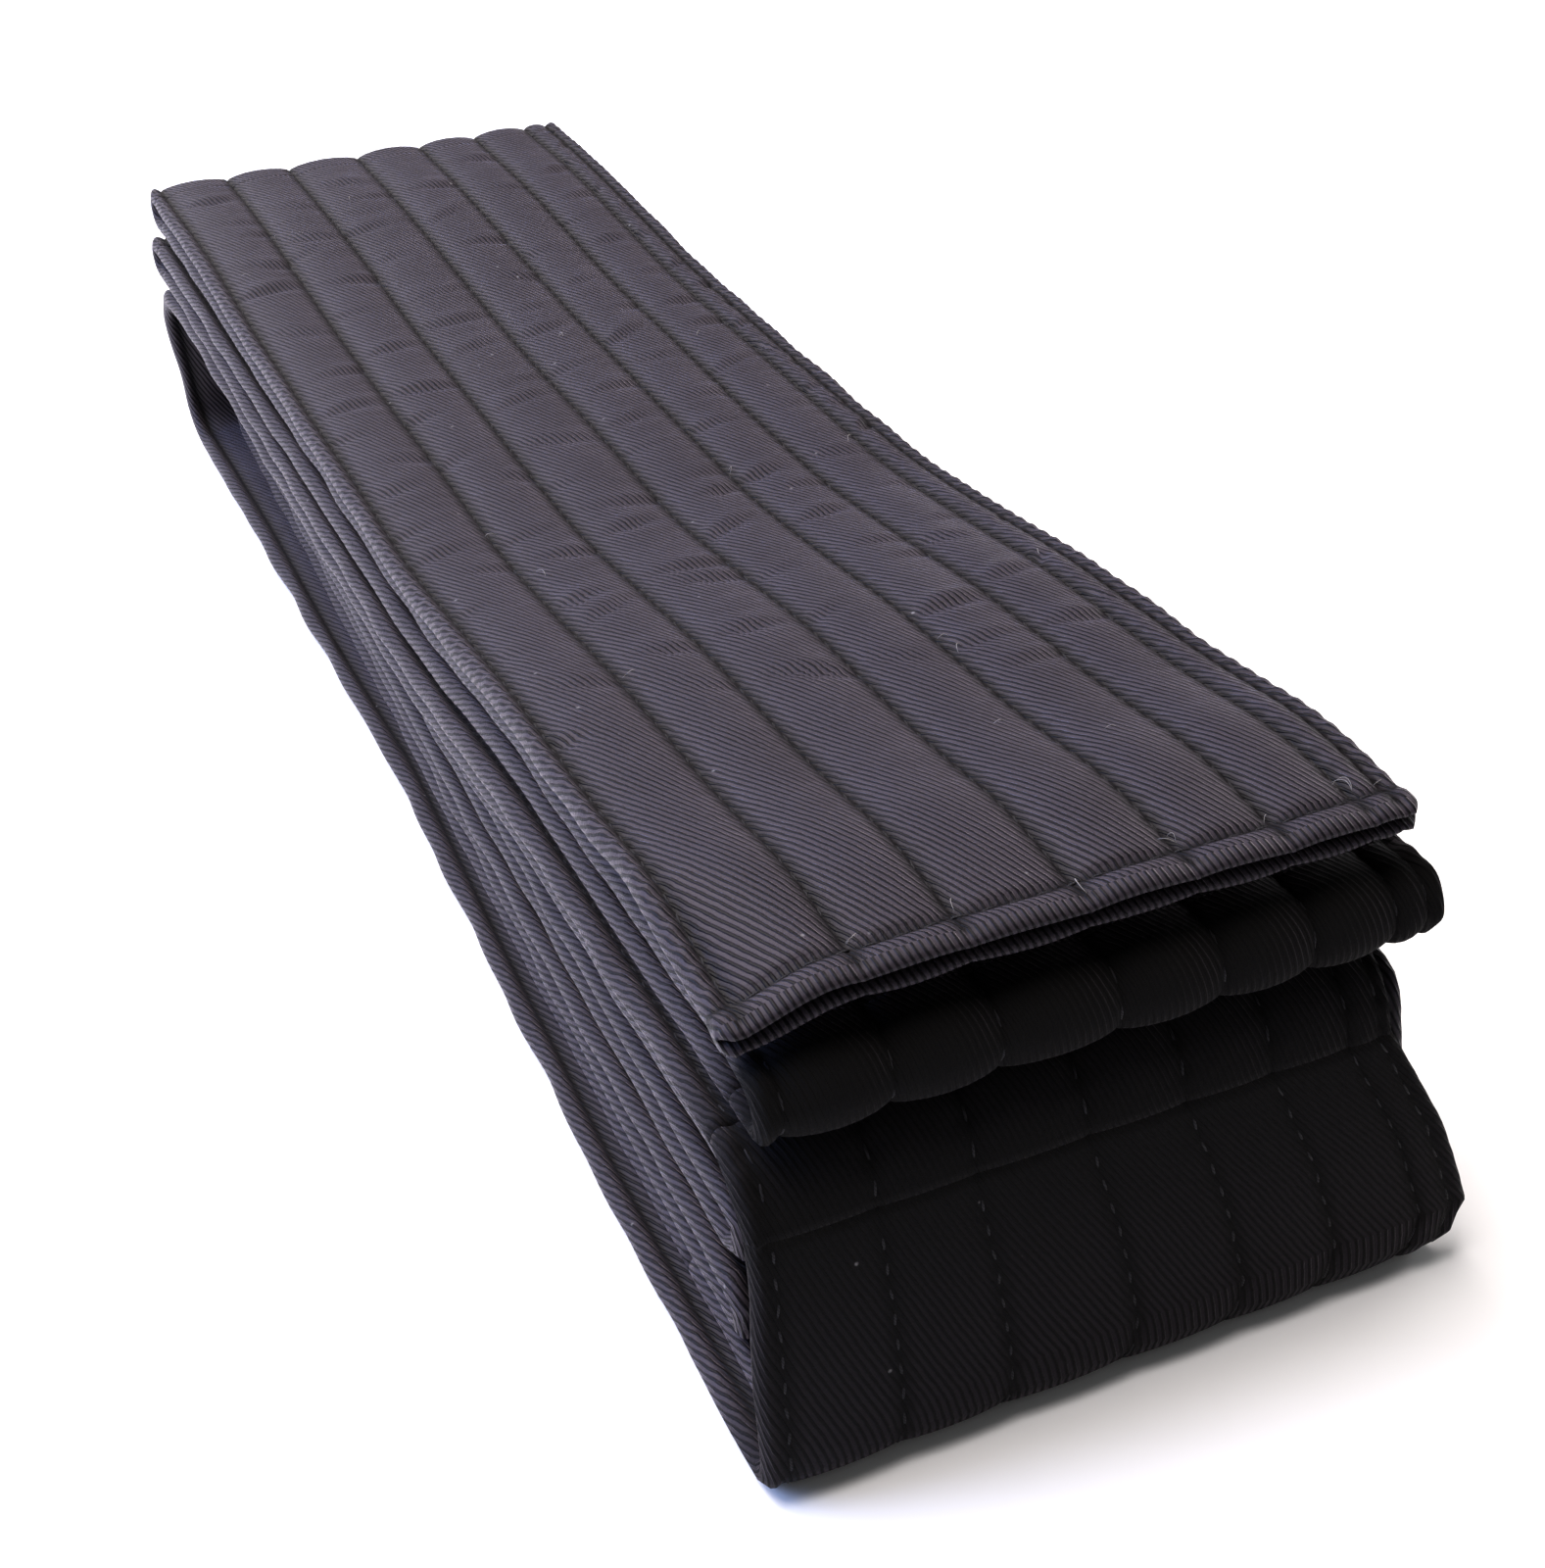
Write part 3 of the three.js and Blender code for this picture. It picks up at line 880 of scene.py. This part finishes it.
hem_ends = [(hem_lip, 1)]
hidden_hem = [(belt_length - hem_lip, -1)]
both_sides = (-1, 1)


def both_nodes(*names):
    return [f"{kind}_{name}" for name in names for kind in ("cover", "core")]


def flap(number, body, start, end, step=panel_step, ends=(), hem=(), more_nodes=()):
    """A straight layer that opens: its panel and the stitches on both of its sides."""
    name = f"layer_{number:02d}"
    panel = cloth_panel(name + "_quilted", start, end, step, channel_points, twill, ends)
    stitches = lengthwise_stitches(start + (hem_row if ends else 0), end, both_sides) + list(hem)
    rows = sewn(name + "_stitches", stitches, thread)
    for piece in (panel, rows):
        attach(piece, body)
    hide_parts(*both_nodes(name), *more_nodes)


def scatter_hairs():
    hairs = loose_hairs("loose_thread_ends", row_end_hairs(), lint_hairs)
    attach(hairs, "flap_1")


def turning(name, first, second, start, end, low, high, sides=both_sides, step=fold_step):
    """A fold between two bodies: its cloth and stitches, baked in place. The bodies first and second and the
    heights or points low and high are not used.
    """
    panel = cloth_panel(name + "_quilted", start, end, step, channel_points, twill)
    rows = sewn(name + "_stitches", lengthwise_stitches(start, end, sides), thread)
    for piece in (panel, rows):
        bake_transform(piece)
    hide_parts(*both_nodes(name))


def seams(name):
    """Where a tight fold's piece starts and ends along the belt."""
    return starts[name] - fold_seam, starts[name] + route[name][0] + fold_seam


def band(height, half):
    """Two points one above the other, half below and half above a tight fold's height."""
    return (0, 0, (height - half) * MM), (0, 0, (height + half) * MM)


def sew_belt():
    fold12, fold23, fold34 = seams("fold_01_02"), seams("fold_02_03"), seams("fold_03_04")
    cad_rows = [f"thread_row_{number}" for number in range(1, 9)]
    hem = cross_stitches(0, 1, both_sides)
    outer_nodes = ["hem_visible", "thread_hem_visible", *cad_rows]
    flap(1, "flap_1", hem_lip, fold12[0], fine_step, hem_ends, hem, outer_nodes)
    scatter_hairs()
    far_upper = layer_height(1, outer_far_turn) - tight_radius
    turning("fold_01_02", "flap_2", "flap_1", *fold12, *band(far_upper, fold_band))
    flap(2, "flap_2", fold12[1], fold23[0])
    nose_height = layer_height(2, nose_turn) - nose_radius
    turning("fold_02_03", "flap_3", "flap_2", *fold23, *band(nose_height, nose_band))
    flap(3, "flap_3", fold23[1], fold34[0])
    far_lower = layer_height(3, outer_far_turn) - tight_radius
    turning("fold_03_04", "flap_4", "flap_3", *fold34, *band(far_lower, fold_band))
    flap(4, "flap_4", fold34[1], starts["near_shoulder"])
    shoulder = (starts["near_shoulder"], starts["near_face"])
    over, under = (Vector(laid(0, 0, s)) for s in shoulder)
    inset = (over - under).normalized() * 1.5 * MM
    turning("near_shoulder", "roll", "flap_4", *shoulder, under + inset, over - inset, step=fine_step)


def sew_roll():
    """The part of the bundle that stays closed: the outer wrap and the zigzag inside it."""
    start, change = starts["near_face"], starts["layer_10"] + 20
    wrap = cloth_panel("outer_wrap_quilted", start, change, panel_step, channel_points, twill)
    rows = sewn("outer_wrap_stitches", lengthwise_stitches(start, starts["inner_face"], (1,)), thread)
    hidden_mesh = (hidden_step, hidden_points)
    inner = cloth_panel("inner_layers_quilted", change, belt_length - hem_lip, *hidden_mesh, twill, hidden_hem)
    hem = sewn("hidden_hem_stitches", cross_stitches(belt_length, -1, both_sides), thread)
    for piece in (wrap, rows, inner, hem):
        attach(piece, "roll")
    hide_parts(*both_nodes("near_face", "layer_11", "far_loop", "layer_05", "inner_face"))
    inside = ("layer_10", "fold_10_09", "layer_09", "fold_09_08", "layer_08")
    inside += ("fold_08_07", "layer_07", "fold_07_06", "layer_06")
    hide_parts(*both_nodes(*inside), "hem_hidden", "thread_hem_hidden")


sew_belt()
sew_roll()


# Studio.


def lay_floor():
    bpy.ops.object.select_all(action="DESELECT")
    bpy.ops.mesh.primitive_plane_add(size=8, location=(0, 0, 0))
    floor = bpy.context.object
    floor.name = "studio_floor"
    floor.data.materials.append(painted_studio_floor())


def soft_light(name, place, aim, size, power, colour):
    lamp = bpy.data.lights.new(name, "AREA")
    lamp.shape = "SQUARE"
    lamp.size = size
    lamp.energy = power
    lamp.color = linear(colour)[:3]
    light = bpy.data.objects.new(name, lamp)
    light.location = place
    light.rotation_euler = (Vector(aim) - Vector(place)).to_track_quat("-Z", "Y").to_euler()
    bpy.context.scene.collection.objects.link(light)


def light_studio():
    soft_light("window_behind", (-0.6, 2.2, 1.5), (0, 0, 0.03), 1.8, 44, "#fff6f6")
    soft_light("cool_left", (-1.2, 0.5, 0.6), (0, 0, 0.02), 0.8, 29, "#a6c0ff")
    soft_light("overhead", (-0.3, 0.3, 1.4), (0, -0.05, 0), 1.2, 45, "#fff8f6")
    soft_light("right_fill", (1.4, 0.5, 0.25), (0, 0, 0.02), 0.8, 7, "#ffffff")
    world = bpy.data.worlds.new("pale_room")
    world.use_nodes = True
    tree = world.node_tree
    tree.nodes.clear()
    # The camera sees a pale backdrop, brighter than the light that the world gives the belt.
    seen = add_node(tree, "ShaderNodeLightPath").outputs["Is Camera Ray"]
    strength = {"Value": seen, "From Min": 0.0, "From Max": 1.0, "To Min": 0.14, "To Max": 0.92}
    strength = add_node(tree, "ShaderNodeMapRange", strength).outputs["Result"]
    walls = {"Color": linear("#ffffff"), "Strength": strength}
    background = add_node(tree, "ShaderNodeBackground", walls).outputs["Background"]
    add_node(tree, "ShaderNodeOutputWorld", {"Surface": background})
    bpy.context.scene.world = world


def place_camera():
    lens = bpy.data.cameras.new("camera")
    lens.sensor_fit = "VERTICAL"
    lens.sensor_height = 36
    lens.lens = 52.81
    camera = bpy.data.objects.new("camera", lens)
    camera.location = (-0.0985, -0.2963, 0.1967)
    camera.rotation_euler = [math.radians(angle) for angle in (56.34, 2.15, -23.37)]
    bpy.context.scene.collection.objects.link(camera)
    bpy.context.scene.camera = camera


lay_floor()
light_studio()
place_camera()
bpy.context.scene.view_settings.view_transform = "Standard"
